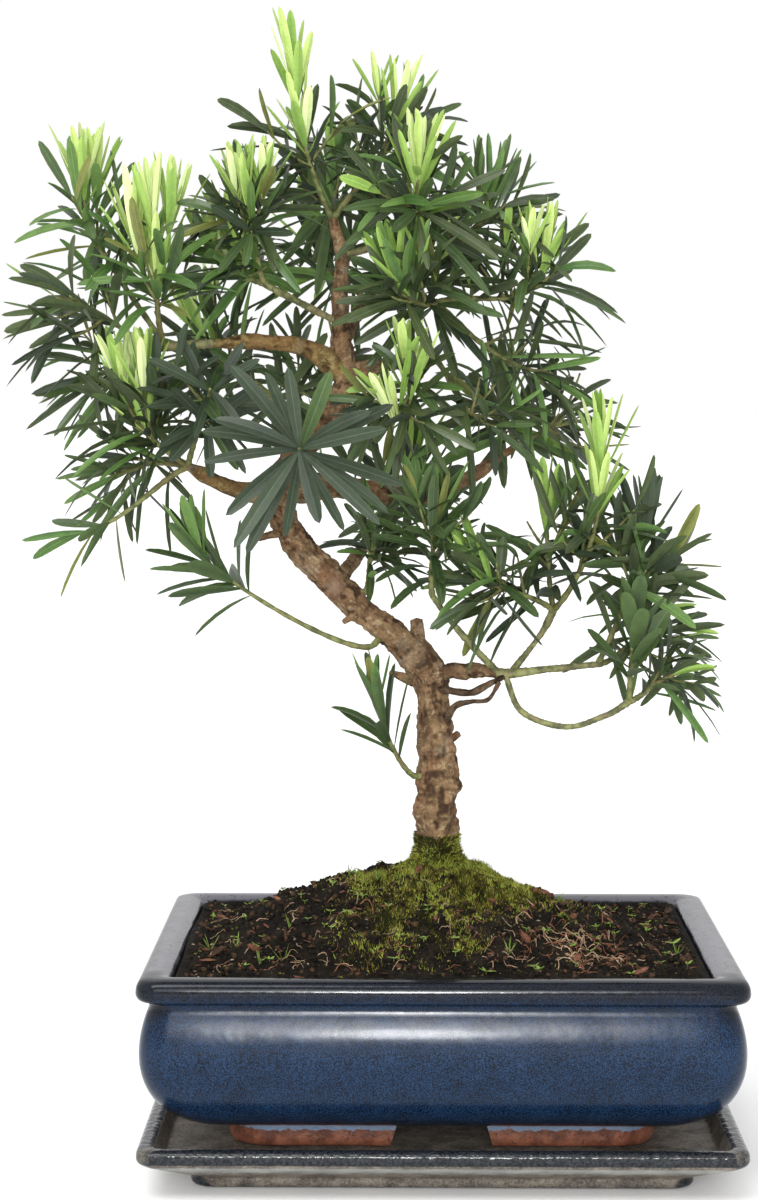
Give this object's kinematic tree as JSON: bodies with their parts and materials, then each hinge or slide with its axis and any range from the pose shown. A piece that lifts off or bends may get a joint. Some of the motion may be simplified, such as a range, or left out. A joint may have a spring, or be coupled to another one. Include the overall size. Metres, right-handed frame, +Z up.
{
  "type": "buddhist pine bonsai",
  "caption": "Small buddhist pine bonsai with a curved trunk, narrow leathery leaves and light new shoots, in a blue glazed rectangular pot on a tray.",
  "frame": {"origin": "centre of the tray's flat underside, on the surface that the part stands on", "axes": "+X along the pot's length, to the right in the picture; +Y away from the viewer; +Z up the tree"},
  "size_m": [0.3169, 0.2157, 0.4864],
  "materials": {
    "glaze": "glossy dark blue glaze",
    "soil": "rough dark potting soil",
    "moss": "soft moss",
    "bark": "rough flaking bark",
    "foliage": "leathery leaves"
  },
  "bodies": {
    "root": {"tray": "glaze", "pot": "glaze", "soil": "soil", "moss": "moss", "trunk": "bark", "bough_back_high": "bark", "bough_back_low": "bark", "bough_back_mid": "bark", "bough_front": "bark", "bough_left_high": "bark", "bough_left_low": "bark", "bough_left_mid": "bark", "bough_right_high": "bark", "bough_right_low": "bark", "bough_right_low_inner": "bark", "bough_right_low_sagging": "bark", "bough_right_low_upper": "bark", "bough_right_mid": "bark", "bough_right_upper": "bark", "bough_top_right": "bark", "foliage_back_left": "foliage", "foliage_back_low": "foliage", "foliage_back_middle": "foliage", "foliage_back_right": "foliage", "foliage_back_side": "foliage", "foliage_back_top": "foliage", "foliage_behind_trunk": "foliage", "foliage_front_rosette": "foliage", "foliage_heart": "foliage", "foliage_heart_low": "foliage", "foliage_inner_low": "foliage", "foliage_left_crown": "foliage", "foliage_left_droop": "foliage", "foliage_left_inner": "foliage", "foliage_left_lower": "foliage", "foliage_left_rosette": "foliage", "foliage_left_spire": "foliage", "foliage_left_tip": "foliage", "foliage_left_twig": "foliage", "foliage_left_under": "foliage", "foliage_low_inner": "foliage", "foliage_low_middle": "foliage", "foliage_low_spire": "foliage", "foliage_low_tip": "foliage", "foliage_low_upper": "foliage", "foliage_right_droop": "foliage", "foliage_right_hang": "foliage", "foliage_right_middle": "foliage", "foliage_right_tip": "foliage", "foliage_sagging_spire": "foliage", "foliage_sagging_tip": "foliage", "foliage_top": "foliage", "foliage_top_back": "foliage", "foliage_top_right": "foliage", "foliage_twig_left": "foliage", "foliage_twig_low": "foliage", "foliage_upper_front": "foliage", "foliage_upper_left": "foliage", "foliage_upper_right": "foliage"}
  },
  "joints": []
}
